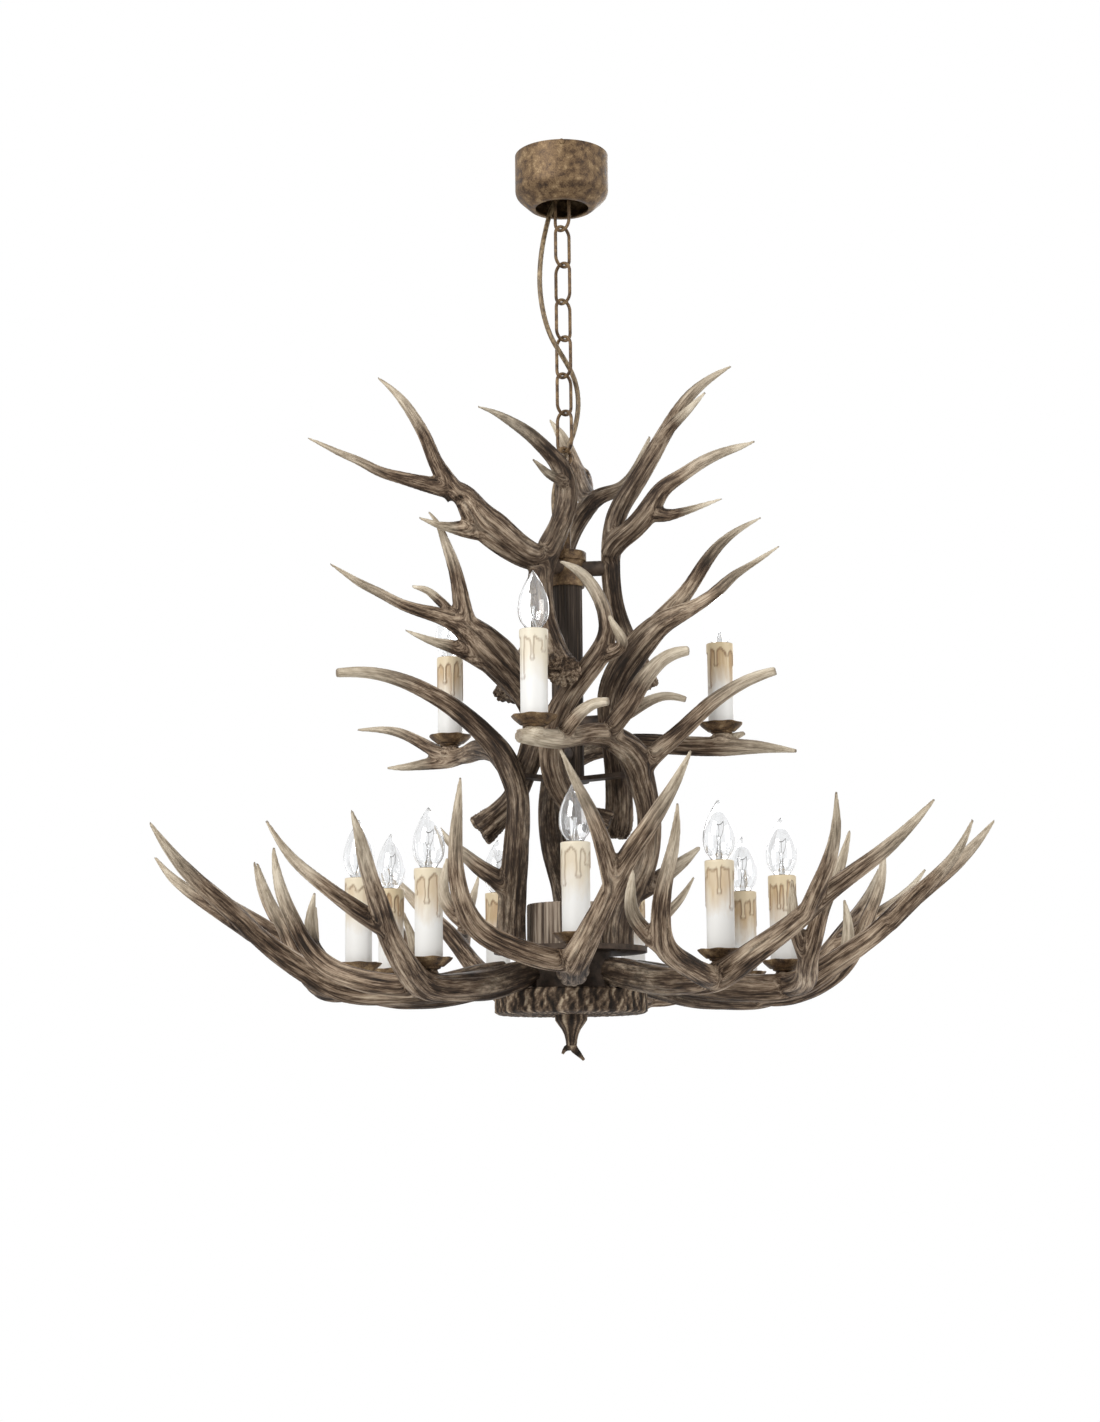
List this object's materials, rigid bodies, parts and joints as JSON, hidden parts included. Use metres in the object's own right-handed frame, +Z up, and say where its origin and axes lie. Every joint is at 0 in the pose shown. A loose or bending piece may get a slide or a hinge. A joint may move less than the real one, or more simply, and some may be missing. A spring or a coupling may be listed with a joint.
{
  "type": "antler chandelier",
  "caption": "Resin antler chandelier: a ring of lower arms and upper antlers on a column, with candle lights, hung by a chain and canopy.",
  "frame": {"origin": "middle of the ceiling face of the ceiling plate", "axes": "+Z up into the ceiling, +X to the right and +Y away as seen from the front"},
  "size_m": [0.9636, 0.9447, 1.0827],
  "materials": {
    "antler_resin": "matte, grooved and streaked",
    "column_resin": "matte, dark, streaked",
    "bark_resin": "matte, rough bark",
    "wood_resin": "matte, upright wood grain",
    "bronze": "rubbed bronze paint",
    "steel": "dull grey",
    "wax_plastic": "satin, wax coloured",
    "black_plastic": "moulded",
    "white_plastic": "moulded",
    "cable": "brown cable sheath",
    "bulb_glass": "clear glass candle bulb"
  },
  "bodies": {
    "ceiling": {"ceiling_plate": "steel", "ceiling_hook": "bronze", "terminal_block": "white_plastic", "canopy": "bronze", "canopy_screws": "bronze", "cord_grip": "black_plastic"},
    "top_link": {"chain_link_1": "bronze"},
    "lamp": {"arm_1": "antler_resin", "arm_2": "antler_resin", "arm_3": "antler_resin", "arm_4": "antler_resin", "arm_5": "antler_resin", "arm_6": "antler_resin", "arm_7": "antler_resin", "arm_8": "antler_resin", "arm_9": "antler_resin", "arm_screws": "steel", "cable_bush": "black_plastic", "candle_seats": "antler_resin", "candle_sleeves": "wax_plastic", "cap": "bronze", "cap_bosses": "bronze", "centre_bolt": "steel", "centre_nut": "steel", "chain": "bronze", "column": "column_resin", "column_bosses": "bronze", "column_foot": "steel", "drip_dishes": "bronze", "finial": "bark_resin", "hub_core": "steel", "hub_disc": "bark_resin", "hub_drum": "wood_resin", "hub_plate": "steel", "lampholders": "black_plastic", "mid_antler_front": "antler_resin", "mid_antler_left": "antler_resin", "mid_antler_right": "antler_resin", "pillar_antler_back": "antler_resin", "pillar_antler_left": "antler_resin", "pillar_antler_right": "antler_resin", "power_cable": "cable", "stem": "bronze", "top_antler_back": "antler_resin", "top_antler_left": "antler_resin", "top_antler_right": "antler_resin", "top_loop": "bronze"},
    "bulb_01": {"bulb_01": "bulb_glass"},
    "bulb_02": {"bulb_02": "bulb_glass"},
    "bulb_03": {"bulb_03": "bulb_glass"},
    "bulb_04": {"bulb_04": "bulb_glass"},
    "bulb_05": {"bulb_05": "bulb_glass"},
    "bulb_06": {"bulb_06": "bulb_glass"},
    "bulb_07": {"bulb_07": "bulb_glass"},
    "bulb_08": {"bulb_08": "bulb_glass"},
    "bulb_09": {"bulb_09": "bulb_glass"},
    "bulb_10": {"bulb_10": "bulb_glass"},
    "bulb_11": {"bulb_11": "bulb_glass"},
    "bulb_12": {"bulb_12": "bulb_glass"}
  },
  "joints": [
    {"name": "hook_swing", "type": "hinge", "parent": "ceiling", "child": "top_link", "pos_m": [0, 0, -0.045], "axis": [0.7071, 0.7071, 0], "range_deg": [-8, 8], "deforming": ["power_cable"]},
    {"name": "chain_swing", "type": "hinge", "parent": "top_link", "child": "lamp", "pos_m": [0, 0, -0.0908], "axis": [0.7071, -0.7071, 0], "range_deg": [-8, 8], "deforming": ["power_cable"]},
    {"name": "bulb_01_out", "type": "slide", "parent": "lamp", "child": "bulb_01", "axis": [0, 0, 1], "range_m": [0, 0.03]},
    {"name": "bulb_02_out", "type": "slide", "parent": "lamp", "child": "bulb_02", "axis": [0, 0, 1], "range_m": [0, 0.03]},
    {"name": "bulb_03_out", "type": "slide", "parent": "lamp", "child": "bulb_03", "axis": [0, 0, 1], "range_m": [0, 0.03]},
    {"name": "bulb_04_out", "type": "slide", "parent": "lamp", "child": "bulb_04", "axis": [0, 0, 1], "range_m": [0, 0.03]},
    {"name": "bulb_05_out", "type": "slide", "parent": "lamp", "child": "bulb_05", "axis": [0, 0, 1], "range_m": [0, 0.03]},
    {"name": "bulb_06_out", "type": "slide", "parent": "lamp", "child": "bulb_06", "axis": [0, 0, 1], "range_m": [0, 0.03]},
    {"name": "bulb_07_out", "type": "slide", "parent": "lamp", "child": "bulb_07", "axis": [0, 0, 1], "range_m": [0, 0.03]},
    {"name": "bulb_08_out", "type": "slide", "parent": "lamp", "child": "bulb_08", "axis": [0, 0, 1], "range_m": [0, 0.03]},
    {"name": "bulb_09_out", "type": "slide", "parent": "lamp", "child": "bulb_09", "axis": [0, 0, 1], "range_m": [0, 0.03]},
    {"name": "bulb_10_out", "type": "slide", "parent": "lamp", "child": "bulb_10", "axis": [0, 0, 1], "range_m": [0, 0.03]},
    {"name": "bulb_11_out", "type": "slide", "parent": "lamp", "child": "bulb_11", "axis": [0, 0, 1], "range_m": [0, 0.03]},
    {"name": "bulb_12_out", "type": "slide", "parent": "lamp", "child": "bulb_12", "axis": [0, 0, 1], "range_m": [0, 0.03]}
  ]
}
